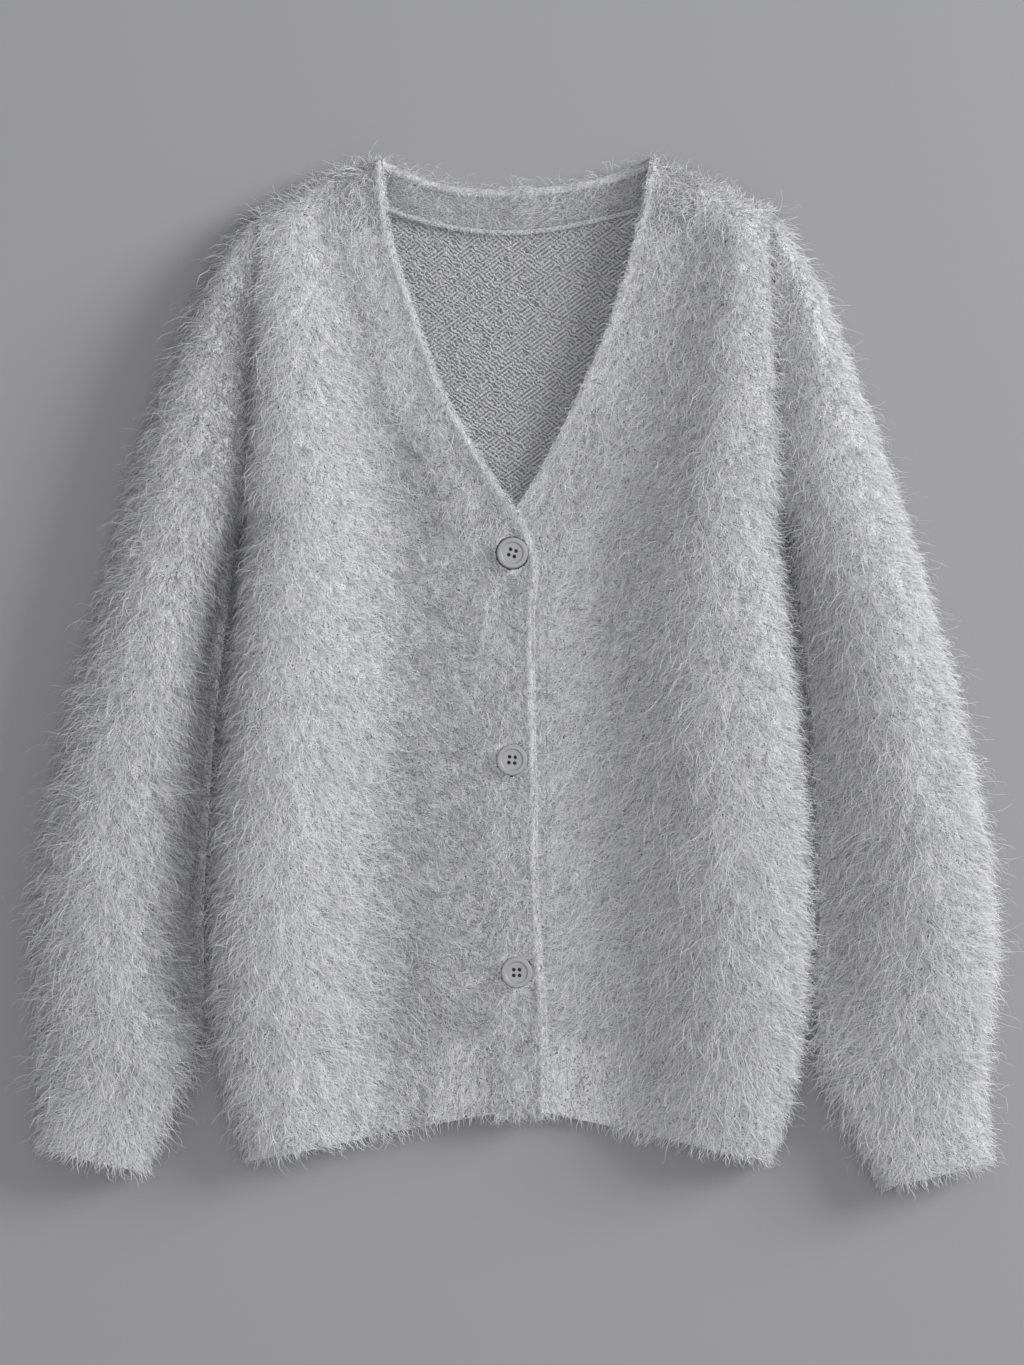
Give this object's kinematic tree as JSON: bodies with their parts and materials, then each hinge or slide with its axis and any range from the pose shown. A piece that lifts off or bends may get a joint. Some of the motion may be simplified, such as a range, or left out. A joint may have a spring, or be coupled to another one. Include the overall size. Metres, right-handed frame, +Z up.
{
  "type": "button cardigan",
  "caption": "Fluffy long-haired V-neck cardigan with puffed drop-shoulder sleeves, ribbed hem and cuffs and a buttoned front, laid flat on its back.",
  "frame": {"origin": "on the surface the cardigan lies on, under the middle of its bounding box", "axes": "+X to the wearer's left, +Y from hem to neck, +Z up through the front"},
  "size_m": [0.62, 0.662, 0.0471],
  "materials": {
    "long_pile_knit": "pale cool-grey plain knit brushed to a long, soft, matt pile with a faint sheen on the hair tips",
    "short_pile_knit": "the same grey yarn in a firmer, shorter-haired band with a smooth paler finished edge",
    "button_resin": "satin mid-grey resin, turned, with a raised rim"
  },
  "bodies": {
    "root": {"back": "long_pile_knit", "front_right": "long_pile_knit", "front_left": "long_pile_knit", "sleeve_right": "long_pile_knit", "sleeve_left": "long_pile_knit", "hem_back": "long_pile_knit", "hem_front_right": "long_pile_knit", "hem_front_left": "long_pile_knit", "cuff_right": "long_pile_knit", "cuff_left": "long_pile_knit", "band_right": "short_pile_knit", "band_left": "short_pile_knit", "button_1": "button_resin", "button_2": "button_resin", "button_3": "button_resin"}
  },
  "joints": []
}
